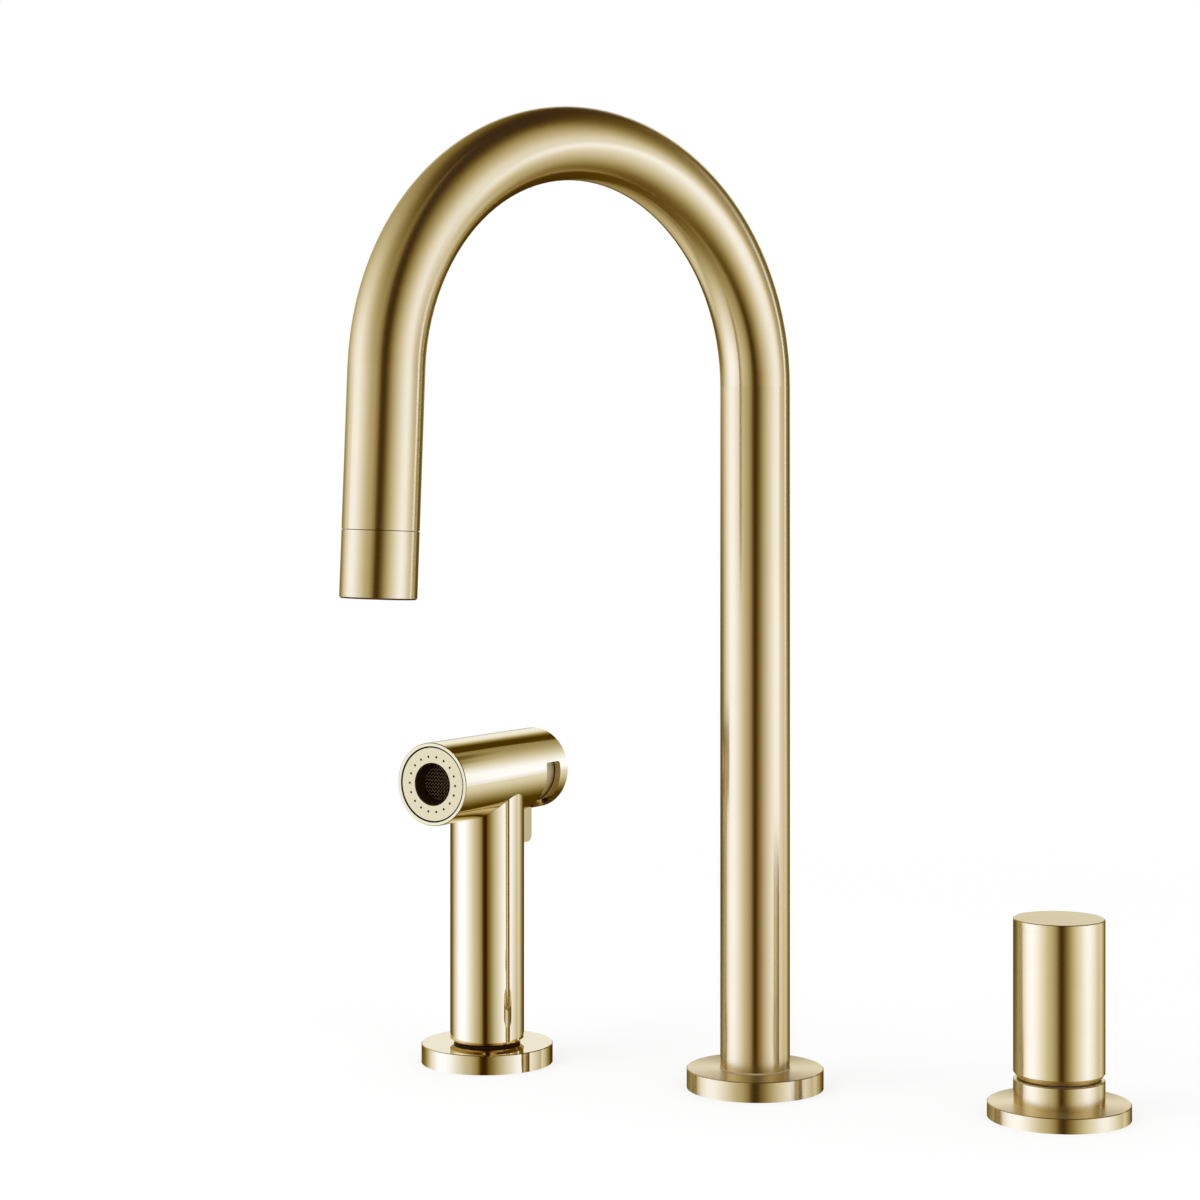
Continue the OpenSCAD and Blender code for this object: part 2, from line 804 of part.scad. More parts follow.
module check_valve() {
    color(acetal) at_spray() difference() {
        rod(valve_r, valve_z + seat_gap, riser_tube_z - seat_gap);
        ring(5.2, 2.2, valve_z - OVER, riser_tube_z - 3);
        straightener_holes(1, 3.6, 0.9, riser_tube_z - 4, riser_tube_z + OVER);
    }
}

module riser_tube() {
    color(plastic) at_spray()
        ring(riser_tube_r, riser_tube_bore_r, riser_tube_z + seat_gap, head_z - head_bore_r);
}

module handle_top_bush() {
    color(plastic) at_spray()
        ring(handle_bore_r - seat_gap, riser_tube_r + seat_gap, top_bush_z, top_bush_z + top_bush_l);
}

module spray_handle() {
    color(polished) difference() {
        at_spray() turned([
            [handle_bore_r, handle_z], [handle_r - handle_bevel, handle_z],
            [handle_r, handle_z + handle_bevel], [handle_r, head_z], [handle_bore_r, head_z],
        ]);
        in_head() rod(head_r + seat_gap, -head_front - OVER, head_rear + OVER);
    }
}

// Hand spray: head

// A piece of a wide ring round the head's axis, between two angles
module sector(from_angle, to_angle, inner_r, outer_r, low, high) {
    rotate([0, 0, from_angle]) rotate_extrude(angle = to_angle - from_angle)
        translate([inner_r, low]) square([outer_r - inner_r, high - low]);
}

// The slot runs round the head, from above its axis on one side down past the bottom
module slot_cut() {
    low_angle = -slot_above;
    high_angle = 90 + slot_past;
    corner_angle = slot_corner_r / head_r * 180 / PI;
    inner_r = head_bore_r - 0.5;
    outer_r = head_r + OVER;
    sector(low_angle + corner_angle, high_angle - corner_angle, inner_r, outer_r, slot_start, slot_end);
    sector(low_angle, high_angle, inner_r - 0.1, outer_r + 0.1,
        slot_start + slot_corner_r, slot_end - slot_corner_r);
    for (a = [low_angle + corner_angle, high_angle - corner_angle])
        for (z = [slot_start + slot_corner_r, slot_end - slot_corner_r])
            rotate([0, 0, a]) translate([0, 0, z]) rotate([0, 90, 0])
                rod(slot_corner_r, inner_r - 0.3, outer_r + 0.3);
}

module head_shell() {
    color(polished) in_head() difference() {
        turned([
            [mouth_r, -head_front], [head_r - EDGE, -head_front], [head_r, EDGE - head_front],
            [head_r, head_rear - EDGE], [head_r - EDGE, head_rear], [mouth_r, head_rear],
            [mouth_r, head_rear - cap_t], [head_bore_r, head_rear - cap_t],
            [head_bore_r, plate_seat - head_front], [mouth_r, plate_seat - head_front],
        ]);
        slot_cut();
        rotate([-90, 0, 0]) rod(riser_tube_r + seat_gap, 5, head_r + OVER);
    }
}

module face_plate() {
    front = face_inset - head_front;
    color(polished) in_head() difference() {
        turned([
            [jet_r, front], [face_r - EDGE, front], [face_r, front + EDGE],
            [face_r, face_back], [jet_r, face_back],
        ]);
        for (i = [0:nozzle_n - 1]) rotate([0, 0, i * 360 / nozzle_n]) translate([nozzle_ring_r, 0, 0])
            rod(nozzle_hole_d / 2, front - OVER, face_back + OVER);
    }
}

// The recess of the jet narrows towards the screen and seats it
module jet_sleeve() {
    front = face_inset - head_front;
    screen_z = front + jet_depth;
    outer_r = jet_r - seat_gap;
    color(plastic) in_head() turned([
        [jet_r - 0.6, front + 0.2], [outer_r, front + 0.2], [outer_r, jet_sleeve_end],
        [jet_screen_r - 0.5, jet_sleeve_end], [jet_screen_r - 0.5, screen_z + jet_screen_t],
        [jet_screen_r + seat_gap, screen_z + jet_screen_t], [jet_screen_r + seat_gap, screen_z],
    ]);
}

module jet_screen() {
    screen_z = face_inset - head_front + jet_depth;
    hole_w = screen_pitch - screen_wire;
    half_count = ceil(jet_screen_r / screen_pitch);
    rim_r = jet_screen_r - 0.35;
    color(steel) in_head() rotate([0, 0, 45]) difference() {
        rod(jet_screen_r, screen_z, screen_z + jet_screen_t);
        for (i = [-half_count:half_count])
            for (j = [-half_count:half_count])
                if (norm([abs(i) * screen_pitch + hole_w / 2, abs(j) * screen_pitch + hole_w / 2]) < rim_r)
                    translate([i * screen_pitch, j * screen_pitch, 0])
                        block(hole_w, hole_w, screen_z - OVER, screen_z + jet_screen_t + OVER);
    }
}

module nozzle_manifold() {
    color(plastic) in_head() difference() {
        rod(manifold_r, face_back, manifold_end);
        ring(channel_out_r, channel_in_r, face_back - OVER, face_back + channel_depth);
        rod(jet_r, face_back - OVER, manifold_end - manifold_web);
        translate([0, jet_port_at, 0])
            rod(jet_port_r, manifold_end - manifold_web - OVER, manifold_end + OVER);
        translate([nozzle_ring_r, 0, 0]) rod(spray_port_r, face_back, manifold_end + OVER);
        rod(shaft_r + run_gap, shaft_start - 0.5, manifold_end + OVER);
    }
}

// The shaft is flattened along one side, and the pieces that it drives have the same shape
module flatted_shaft(r, flat, low, high) {
    difference() {
        rod(r, low, high);
        translate([flat, -r - OVER, low - OVER]) cube([r, 2 * r + 2 * OVER, high - low + 2 * OVER]);
    }
}

module valve_disc() {
    low = valve_disc_z;
    high = valve_disc_z + valve_disc_t;
    color(ceramic) in_head() difference() {
        rod(valve_disc_r, low, high);
        flatted_shaft(shaft_r + seat_gap, shaft_flat + seat_gap, low - OVER, high + OVER);
        translate([0, jet_port_at, 0]) rod(jet_port_r, low - OVER, high + OVER);
        translate([0, nozzle_ring_r, 0]) rod(1.2, low - OVER, high + OVER);
    }
}

module diverter_shaft() {
    color(steel) in_head() difference() {
        union() {
            rod(shaft_r, shaft_start, valve_disc_z);
            flatted_shaft(shaft_r, shaft_flat, valve_disc_z, valve_disc_z + valve_disc_t);
            rod(shaft_r, valve_disc_z + valve_disc_t, drum_z);
            flatted_shaft(shaft_r, shaft_flat, drum_z, drum_z + drum_web_t);
        }
        rod(drum_screw_r + seat_gap, drum_z + drum_web_t - drum_screw_l, drum_z + drum_web_t + OVER);
    }
}

module shaft_bulkhead() {
    middle = bulkhead_z + bulkhead_t / 2;
    color(brass) in_head() difference() {
        ring(manifold_r, shaft_r + run_gap, bulkhead_z, bulkhead_z + bulkhead_t);
        ring(manifold_r + OVER, manifold_r - 1.4, middle - 0.95, middle + 0.95);
    }
}

module bulkhead_seal() {
    middle = bulkhead_z + bulkhead_t / 2;
    color(rubber) in_head() torus(manifold_r - 0.7, 0.68, middle);
}

module diverter_drum() {
    hole_half_w = tab_neck_w / 2 + seat_gap;
    color(polished) in_head() difference() {
        turned([
            [0, drum_z], [drum_r, drum_z], [drum_r, drum_end], [drum_r - drum_wall, drum_end],
            [drum_r - drum_wall, drum_z + drum_web_t], [0, drum_z + drum_web_t],
        ]);
        flatted_shaft(shaft_r + seat_gap, shaft_flat + seat_gap, drum_z - OVER, drum_z + drum_web_t + OVER);
        translate([0, drum_r - drum_wall / 2, tab_mid])
            block(tab_neck_t + 2 * seat_gap, drum_wall + 4, -hole_half_w, hole_half_w);
    }
}

module drum_screw() {
    seat = drum_z + drum_web_t;
    color(steel) in_head() difference() {
        union() {
            rod(drum_screw_head_r, seat + seat_gap, seat + 2);
            rod(drum_screw_r, seat - drum_screw_l + 1, seat + 1);
        }
        hexagon(2.5, seat + 0.8, seat + 2 + OVER);
    }
}

// The tab stands on the drum and passes through the slot. Its outline is drawn from the side:
// across is the distance out from the head's axis, up the page is the way back along the head.
module diverter_tab() {
    seat_r = drum_r + 0.1;
    tip_r = head_r + tab_l;
    color(polished) in_head() difference() {
        union() {
            translate([tab_t / 2, 0, 0]) rotate([0, -90, 0]) linear_extrude(tab_t) difference() {
                translate([tab_start, seat_r]) square([tab_w, tip_r - seat_r]);
                translate([tab_end - tab_corner_r, tip_r - tab_corner_r]) difference() {
                    square(tab_corner_r + OVER);
                    circle(r = tab_corner_r);
                }
            }
            translate([0, (seat_r + drum_r - drum_wall) / 2, tab_mid])
                block(tab_neck_t, seat_r - drum_r + drum_wall, -tab_neck_w / 2, tab_neck_w / 2);
        }
        translate([0, 0, tab_mid]) rotate([-90, 0, 0])
            rod(tab_screw_r + seat_gap, 5, drum_r - drum_wall + tab_screw_l);
    }
}

module tab_screw() {
    seat_r = drum_r - drum_wall - 0.25;
    color(steel) in_head() translate([0, 0, tab_mid]) rotate([-90, 0, 0]) difference() {
        union() {
            rod(tab_screw_head_r, seat_r - 1.8, seat_r - 0.1);
            rod(tab_screw_r, seat_r - 1, seat_r + tab_screw_l - 1);
        }
        hexagon(2, seat_r - 2, seat_r - 0.8);
    }
}

module rear_cap() {
    color(polished) in_head() turned([
        [0, head_rear - cap_t], [cap_r, head_rear - cap_t], [cap_r, head_rear - EDGE],
        [cap_r - EDGE, head_rear], [0, head_rear],
    ]);
}

threaded_shanks();
shank_nuts();
steel_washers();
rubber_washers();
deck_gaskets();
spout_rosette();
spout_post();
spout_glide_ring();
spout_orings();
spout_bushes();
spout_tube();
spout_screw();
outlet_sleeve();
aerator_body();
aerator_seal();
control_rosette();
control_body();
control_collar();
cartridge_nut();
cartridge_housing();
cartridge_base();
fixed_disc();
moving_disc();
disc_driver();
cartridge_rotor();
lever_pin();
control_lever();
knob_insert();
knob_shell();
knob_screw();
spray_rosette();
dock_base();
dock_guide();
hose_swivel();
swivel_seal();
swivel_clip();
handle_bush();
check_valve();
riser_tube();
handle_top_bush();
spray_handle();
head_shell();
face_plate();
jet_sleeve();
jet_screen();
nozzle_manifold();
valve_disc();
diverter_shaft();
shaft_bulkhead();
bulkhead_seal();
diverter_drum();
drum_screw();
diverter_tab();
tab_screw();
rear_cap();
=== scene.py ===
import json
import math

import bmesh
import bpy
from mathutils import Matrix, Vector


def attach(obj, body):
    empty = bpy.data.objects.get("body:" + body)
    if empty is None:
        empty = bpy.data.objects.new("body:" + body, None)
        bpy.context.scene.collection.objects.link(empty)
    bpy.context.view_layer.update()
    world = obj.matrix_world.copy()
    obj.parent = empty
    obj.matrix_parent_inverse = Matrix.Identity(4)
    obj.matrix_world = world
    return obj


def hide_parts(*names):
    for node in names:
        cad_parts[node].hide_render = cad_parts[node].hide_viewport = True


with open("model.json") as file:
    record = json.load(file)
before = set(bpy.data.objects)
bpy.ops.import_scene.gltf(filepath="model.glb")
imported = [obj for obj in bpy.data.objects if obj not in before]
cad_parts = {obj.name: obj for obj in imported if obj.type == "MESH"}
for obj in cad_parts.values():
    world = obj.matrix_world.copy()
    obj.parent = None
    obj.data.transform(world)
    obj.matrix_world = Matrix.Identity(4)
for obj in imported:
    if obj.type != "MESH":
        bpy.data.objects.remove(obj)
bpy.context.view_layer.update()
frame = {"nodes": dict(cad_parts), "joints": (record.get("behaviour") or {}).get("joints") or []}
nodes = frame["nodes"]

# Places from the frame. +X runs from the hand spray to the control, and the origin is on the axis of
# the spout, at the level of the worktop. The spray's diverter turns about the axis of its head.
joints = {joint["name"]: joint for joint in frame["joints"]}
CONTROL_X = joints["knob_temperature"]["pos_m"][0]
HEAD_AT = Vector(joints["diverter_turn"]["pos_m"])
HEAD_BACK = -Vector(joints["diverter_turn"]["axis"])

# Sizes from the CAD source, in metres
TUBE_R = 0.014
RISER_H = 0.2815
BEND_R = 0.091
BEND_ANGLE = math.radians(177.5)
LEG_L = 0.0585
# From the end of the leg to the lower rim of the sleeve, with the hairline joint
OUTLET_L = 0.02475
# The front of the head is this far before the handle's axis
HEAD_FRONT = 0.040
FACE_INSET = 0.0003
JET_DEPTH = 0.0045
SCREEN_HALF_T = 0.0004
# The spout at rest is turned towards -X from straight ahead
SPOUT_TURN = math.radians(26.0)

# The camera looks level, turned by this angle from +Y towards -X. Its frame is shifted down, so that
# the horizon lies on this row of the photograph's 1200. Its lens is given in pixels of the same frame.
CAMERA_AT = Vector((0.3898, -1.0346, 0.2515))
CAMERA_YAW = math.radians(23.878)
FRAME_PIXELS = 1200.0
HORIZON_ROW = 461.7
LENS_PIXELS = 2745.0
SENSOR_WIDTH = 36.0
NEAREST = 0.01
# The angle from +X of the direction from the object to the camera
CAMERA_SIDE = math.atan2(CAMERA_AT.y, CAMERA_AT.x)


class Tree:
    """Short names for making the nodes of one node tree."""

    def __init__(self, tree):
        self.tree = tree
        self.tree.nodes.clear()

    def node(self, kind, **settings):
        n = self.tree.nodes.new(kind)
        for key, value in settings.items():
            setattr(n, key, value)
        return n

    def put(self, socket, value):
        """Link value to the socket if it is a socket, and set the socket to it otherwise."""
        if isinstance(value, bpy.types.NodeSocket):
            self.tree.links.new(value, socket)
        elif value is not None:
            socket.default_value = value

    def math(self, op, a, b=None, c=None):
        n = self.node("ShaderNodeMath", operation=op)
        for socket, value in zip(n.inputs, (a, b, c)):
            self.put(socket, value)
        return n.outputs[0]

    def plus(self, a, b):
        return self.math("ADD", a, b)

    def minus(self, a, b):
        return self.math("SUBTRACT", a, b)

    def times(self, a, b):
        return self.math("MULTIPLY", a, b)

    def most(self, a, b):
        return self.math("MAXIMUM", a, b)

    def below(self, a, b):
        """1 where a is less than b, and 0 elsewhere."""
        return self.math("LESS_THAN", a, b)

    def above(self, a, b):
        """1 where a is greater than b, and 0 elsewhere."""
        return self.math("GREATER_THAN", a, b)

    def root_of_squares(self, a, b):
        return self.math("SQRT", self.plus(self.times(a, a), self.times(b, b)))

    def vector(self, op, a, b=None):
        n = self.node("ShaderNodeVectorMath", operation=op)
        self.put(n.inputs[0], a)
        self.put(n.inputs[1], b)
        return n.outputs["Value"] if op in ("DOT_PRODUCT", "LENGTH") else n.outputs["Vector"]

    def along(self, p, point, direction):
        """How far p lies past point along direction."""
        return self.vector("DOT_PRODUCT", self.vector("SUBTRACT", p, point), direction)

    def axis_distance(self, p, point, direction):
        """Distance of p from the line through point along direction."""
        past = self.along(p, point, direction)
        foot = self.join(*(self.times(past, d) for d in direction))
        offset = self.vector("SUBTRACT", p, point)
        return self.vector("LENGTH", self.vector("SUBTRACT", offset, foot))

    def split(self, v):
        n = self.node("ShaderNodeSeparateXYZ")
        self.put(n.inputs[0], v)
        return n.outputs

    def join(self, x, y, z):
        n = self.node("ShaderNodeCombineXYZ")
        for socket, value in zip(n.inputs, (x, y, z)):
            self.put(socket, value)
        return n.outputs[0]

    def ramp(self, fac, stops, smooth=True):
        """A grey or a colour that follows fac through the stops."""
        n = self.node("ShaderNodeValToRGB")
        n.color_ramp.interpolation = "EASE" if smooth else "LINEAR"
        elements = n.color_ramp.elements
        while len(elements) > 1:
            elements.remove(elements[-1])
        for i, (at, colour) in enumerate(stops):
            e = elements[0] if i == 0 else elements.new(at)
            e.position = at
            if not isinstance(colour, tuple):
                colour = (colour, colour, colour)
            e.color = (*colour, 1.0)
        self.put(n.inputs[0], fac)
        return n.outputs[0]

    def level(self, value, stops):
        """A number that follows value through the stops, in straight lines."""
        n = self.node("ShaderNodeFloatCurve")
        self.put(n.inputs["Value"], value)
        curve = n.mapping.curves[0]
        n.mapping.use_clip = False
        while len(curve.points) < len(stops):
            curve.points.new(0.5, 0.5)
        for point, (x, y) in zip(curve.points, stops):
            point.location = (x, y)
            point.handle_type = "VECTOR"
        n.mapping.update()
        return n.outputs[0]

    def noise(self, where, scale, detail=2.0, roughness=0.5):
        n = self.node("ShaderNodeTexNoise")
        self.put(n.inputs["Vector"], where)
        n.inputs["Scale"].default_value = scale
        n.inputs["Detail"].default_value = detail
        n.inputs["Roughness"].default_value = roughness
        return n.outputs[0]

    def spread(self, value, low, high):
        """A number from low to high, as value goes from 0 to 1."""
        n = self.node("ShaderNodeMapRange")
        self.put(n.inputs["Value"], value)
        n.inputs["To Min"].default_value = low
        n.inputs["To Max"].default_value = high
        return n.outputs[0]

    def mix(self, kind, fac, a, b):
        n = self.node("ShaderNodeMix", data_type=kind)
        self.put(n.inputs["Factor"], fac)
        self.put(n.inputs["A"], a)
        self.put(n.inputs["B"], b)
        return n.outputs["Result"]

    def between(self, fac, a, b):
        return self.mix("FLOAT", fac, a, b)

    def mix_colour(self, fac, a, b):
        return self.mix("RGBA", fac, a, b)

    def mix_shader(self, fac, a, b):
        n = self.node("ShaderNodeMixShader")
        for socket, value in zip(n.inputs, (fac, a, b)):
            self.put(socket, value)
        return n.outputs[0]

    def object_coords(self):
        return self.node("ShaderNodeTexCoord").outputs["Object"]

    def turn_vector(self, kind, v, source, target):
        """A vector or normal v of the source space as it is in the target space."""
        n = self.node("ShaderNodeVectorTransform", vector_type=kind)
        n.convert_from = source
        n.convert_to = target
        self.put(n.inputs[0], v)
        return n.outputs[0]

    def to_world(self, v):
        return self.turn_vector("VECTOR", v, "OBJECT", "WORLD")

    def object_normal(self):
        normal = self.node("ShaderNodeNewGeometry").outputs["Normal"]
        return self.turn_vector("NORMAL", normal, "WORLD", "OBJECT")


def new_material(name):
    material = bpy.data.materials.new(name)
    material.use_nodes = True
    return material, Tree(material.node_tree)


# The colour of every metal's mirror image at a grazing angle
EDGE_TINT = (1.0, 0.97, 0.84, 1.0)


def finish_material(material, t, colour, metallic, roughness, bump, bump_strength, bump_distance,
                    anisotropic=0.0, tangent=None, specular=0.5):
    """The shader itself, with its relief, for a material whose values are made."""
    shader = t.node("ShaderNodeBsdfPrincipled")
    t.put(shader.inputs["Base Color"], colour)
    t.put(shader.inputs["Metallic"], metallic)
    t.put(shader.inputs["Roughness"], roughness)
    shader.inputs["Anisotropic"].default_value = anisotropic
    shader.inputs["Specular IOR Level"].default_value = specular
    if metallic:
        shader.inputs["Specular Tint"].default_value = EDGE_TINT
    if tangent is not None:
        t.put(shader.inputs["Tangent"], tangent)
    relief = t.node("ShaderNodeBump")
    relief.inputs["Strength"].default_value = bump_strength
    relief.inputs["Distance"].default_value = bump_distance
    t.put(relief.inputs["Height"], bump)
    t.put(shader.inputs["Normal"], relief.outputs[0])
    out = t.node("ShaderNodeOutputMaterial")
    t.put(out.inputs["Surface"], shader.outputs[0])
    return material


# Golds
GOLD = (0.80, 0.665, 0.40)
GOLD_DEEP = (0.77, 0.63, 0.37)
GOLD_POLISHED = (0.83, 0.71, 0.46)
GOLD_RIM = (0.72, 0.617, 0.34)
# Painted light: the control's gold is the spout's satin gold made brighter, standing in for more light on
# it
CONTROL_GOLD_PAINTED_LIGHT = (0.86, 0.725, 0.45)
CONTROL_DEEP_PAINTED_LIGHT = (0.83, 0.69, 0.42)
# Painted shade: a dark colour that mirrors nothing, put in joints and bores and on the sleeve's lower rim.
PAINTED_SHADE = (0.05, 0.026, 0.006)
PAINTED_SHADE_ROUGHNESS = 0.5

# The brush lines: noise steps per radian round the piece, and per metre along it
BRUSH_ROUND = 0.9
BRUSH_ALONG = 3000.0
BRUSH_ROUGHNESS = (0.17, 0.24)
BRUSH_RELIEF = {"bump_strength": 0.03, "bump_distance": 0.00002, "anisotropic": 0.75}
# Flat tops are this much rougher, and slopes less, by this power of the normal's upward part
TOP_ROUGHNESS = 0.15
TOP_POWER = 4.0
CLOUD_ROUGHNESS = (-0.02, 0.02)


def brushed(t, p, lines, cloud_scale, base, deep):
    """The colour, roughness and scratches of satin gold, brushed along the lines."""
    scratch = t.noise(lines, scale=1.0, detail=2.0, roughness=0.6)
    cloud = t.noise(p, cloud_scale, detail=3.0)
    colour = t.mix_colour(cloud, (*base, 1.0), (*deep, 1.0))
    rough = t.plus(t.spread(scratch, *BRUSH_ROUGHNESS), t.spread(cloud, *CLOUD_ROUGHNESS))
    return colour, rough, scratch


def brushed_gold(name, x, y, base=GOLD, deep=GOLD_DEEP, round_top=True):
    """Satin gold, brushed round a vertical axis through x, y, with its flat top brushed round or across."""
    material, t = new_material(name)
    p = t.vector("SUBTRACT", t.object_coords(), (x, y, 0.0))
    px, py, pz = t.split(p)
    around = t.math("ARCTAN2", py, px)
    radius = t.root_of_squares(px, py)
    normal = t.object_normal()
    upward = t.math("ABSOLUTE", t.split(normal)[2])
    if round_top:
        tangent = t.vector("CROSS_PRODUCT", normal, t.join(t.times(py, -1.0), px, 0.0))
    else:
        tangent = t.join(upward, 0.0, t.minus(1.0, upward))
    lines = t.join(t.times(around, BRUSH_ROUND), t.times(radius, BRUSH_ALONG), t.times(pz, BRUSH_ALONG))
    colour, rough, scratch = brushed(t, p, lines, cloud_scale=60.0, base=base, deep=deep)
    top = t.math("POWER", upward, TOP_POWER)
    rough = t.plus(rough, t.times(top, TOP_ROUGHNESS))
    return finish_material(material, t, colour, 1.0, rough, scratch, tangent=t.to_world(tangent),
                           **BRUSH_RELIEF)


# The sleeve takes painted shade this deep under its skin, in the hairline joint, and this far up its lower
# rim
JOINT_DEPTH = 0.00008
SLEEVE_RIM = 0.0004


def brushed_gold_tube(name, sleeve=False):
    """Satin gold, brushed round the bent tube. The lines follow its path from foot to outlet."""
    material, t = new_material(name)
    p = t.object_coords()
    forward_x = -math.sin(SPOUT_TURN)
    forward_y = -math.cos(SPOUT_TURN)
    forward = t.vector("DOT_PRODUCT", p, (forward_x, forward_y, 0.0))
    up = t.minus(t.split(p)[2], RISER_H)

    # The angle round the bend, 0 on the riser and the full angle on the leg
    turn = t.math("ARCTAN2", up, t.minus(BEND_R, forward))
    turn = t.math("WRAP", turn, 1.5 * math.pi, -0.5 * math.pi)
    turn = t.math("MINIMUM", t.most(turn, 0.0), BEND_ANGLE)
    sine = t.math("SINE", turn)
    cosine = t.math("COSINE", turn)
    tangent = t.to_world(t.join(t.times(sine, forward_x), t.times(sine, forward_y), cosine))

    # The length along the path: below the bend, round it, and past its end
    bend_reach = BEND_R * (1 - math.cos(BEND_ANGLE))
    end = (forward_x * bend_reach, forward_y * bend_reach, RISER_H + BEND_R * math.sin(BEND_ANGLE))
    down = (forward_x * math.sin(BEND_ANGLE), forward_y * math.sin(BEND_ANGLE), math.cos(BEND_ANGLE))
    past = t.along(p, end, down)
    first = t.times(t.math("MINIMUM", up, 0.0), t.below(forward, BEND_R))
    last = t.times(t.most(past, 0.0), t.above(forward, BEND_R))
    length = t.plus(t.times(turn, BEND_R), t.plus(first, last))
    side = t.vector("DOT_PRODUCT", t.object_normal(), (forward_y, -forward_x, 0.0))
    lines = t.join(t.times(side, BRUSH_ROUND), 0.0, t.times(length, BRUSH_ALONG))
    colour, rough, scratch = brushed(t, p, lines, cloud_scale=40.0, base=GOLD, deep=GOLD_DEEP)
    metallic = 1.0
    if sleeve:
        # Painted shade on the hairline joint and on the lower rim
        joint = t.below(t.axis_distance(p, end, down), TUBE_R - JOINT_DEPTH)
        rim = t.above(past, LEG_L + OUTLET_L - SLEEVE_RIM)
        painted_shade_mask = t.most(joint, rim)
        colour = t.mix_colour(painted_shade_mask, colour, (*PAINTED_SHADE, 1.0))
        metallic = t.minus(1.0, painted_shade_mask)
    return finish_material(material, t, colour, metallic, rough, scratch, tangent=tangent, specular=0.0,
                           **BRUSH_RELIEF)


# The front of the head, in metres: how deep its rim and its joint of painted shade go, and the radii
# inside which the shell's mouth and bore take painted shade, and outside which the face plate does
HEAD_RIM = 0.00022
HEAD_JOINT = 0.004
MOUTH_R = 0.01556
BORE_R = 0.01435
PLATE_R = 0.01506


def head_finish(t, p, colour, roughness, part):
    """The shell's rim is a deeper gold, and its bore and mouth and the face plate's edge take painted
    shade.
    """
    radius = t.axis_distance(p, HEAD_AT, HEAD_BACK)
    along = t.along(p, HEAD_AT, HEAD_BACK)
    front = t.below(along, HEAD_JOINT - HEAD_FRONT)
    if part == "shell":
        colour = t.mix_colour(t.below(along, HEAD_RIM - HEAD_FRONT), colour, (*GOLD_RIM, 1.0))
        painted_shade_mask = t.most(t.times(front, t.below(radius, MOUTH_R)), t.below(radius, BORE_R))
    else:
        painted_shade_mask = t.times(front, t.above(radius, PLATE_R))
    colour = t.mix_colour(painted_shade_mask, colour, (*PAINTED_SHADE, 1.0))
    return colour, t.minus(1.0, painted_shade_mask), t.between(painted_shade_mask, roughness, PAINTED_SHADE_ROUGHNESS)


# Polished gold clouds over to this share of its colour, and its roughness varies by this much
POLISHED_CLOUD = 0.97
POLISHED_FINE = 0.015
POLISHED_CLOUD_ROUGHNESS = (-0.01, 0.01)


def polished_gold(name, rough=0.045, base=GOLD_POLISHED, part=""):
    """Mirror gold, or a duller one where rough is more. part is "shell" or "plate" on the head."""
    material, t = new_material(name)
    p = t.object_coords()
    cloud = t.noise(p, scale=30.0)
    fine = t.noise(p, scale=900.0, detail=3.0)
    deep = tuple(POLISHED_CLOUD * c for c in base)
    colour = t.mix_colour(cloud, (*base, 1.0), (*deep, 1.0))
    fine_roughness = t.spread(fine, rough - POLISHED_FINE, rough + POLISHED_FINE)
    roughness = t.plus(fine_roughness, t.spread(cloud, *POLISHED_CLOUD_ROUGHNESS))
    metallic = 1.0
    if part:
        colour, metallic, roughness = head_finish(t, p, colour, roughness, part)
    return finish_material(material, t, colour, metallic, roughness, fine, bump_strength=0.01,
                           bump_distance=0.00001, specular=0.0)


# Other metals and plain materials: roughness varies with the grain by this much less and more
METAL_SWING = (0.06, 0.08)
PLAIN_SWING = (0.06, 0.06)
# The grain of a metal is this much finer upwards than round it
DRAWN = (1.0, 1.0, 8.0)


def plain_metal(name, colour, dark, rough, scale=700.0):
    """Metal as it comes from the lathe, with a grain."""
    material, t = new_material(name)
    grain = t.noise(t.vector("MULTIPLY", t.object_coords(), DRAWN), scale, detail=3.0)
    mixed = t.mix_colour(grain, (*colour, 1.0), (*dark, 1.0))
    roughness = t.spread(grain, rough - METAL_SWING[0], rough + METAL_SWING[1])
    return finish_material(material, t, mixed, 1.0, roughness, grain, bump_strength=0.06,
                           bump_distance=0.00003)


def soft_plain(name, colour, dark, rough, scale=1200.0, strength=0.15, specular=0.5):
    """Plastic, rubber, ceramic or a glossy ring, with a fine grain."""
    material, t = new_material(name)
    grain = t.noise(t.object_coords(), scale, detail=4.0, roughness=0.6)
    mixed = t.mix_colour(grain, (*colour, 1.0), (*dark, 1.0))
    roughness = t.spread(grain, rough - PLAIN_SWING[0], rough + PLAIN_SWING[1])
    return finish_material(material, t, mixed, 0.0, roughness, grain, bump_strength=strength,
                           bump_distance=0.00004, specular=specular)


spout_gold = brushed_gold("spout_gold", 0.0, 0.0)
# The control and the knob use the satin gold made brighter as painted light
control_gold_painted_light = brushed_gold("control_gold_painted_light", CONTROL_X, 0.0, CONTROL_GOLD_PAINTED_LIGHT, CONTROL_DEEP_PAINTED_LIGHT)
knob_gold_painted_light = brushed_gold("knob_gold_painted_light", CONTROL_X, 0.0, CONTROL_GOLD_PAINTED_LIGHT, CONTROL_DEEP_PAINTED_LIGHT, round_top=False)
tube_gold = brushed_gold_tube("tube_gold")
sleeve_gold = brushed_gold_tube("sleeve_gold", sleeve=True)
bright_gold = polished_gold("bright_gold")
head_gold = polished_gold("head_gold", part="shell")
face_gold = polished_gold("face_gold", rough=0.30, base=(0.735, 0.615, 0.335), part="plate")
# Painted light: the drum's gold is lighter than the shell's, to brighten it in the slot's shade; its satin
# roughness is its finish
drum_gold_painted_light = polished_gold("drum_gold_painted_light", rough=0.55, base=(0.88, 0.74, 0.46))
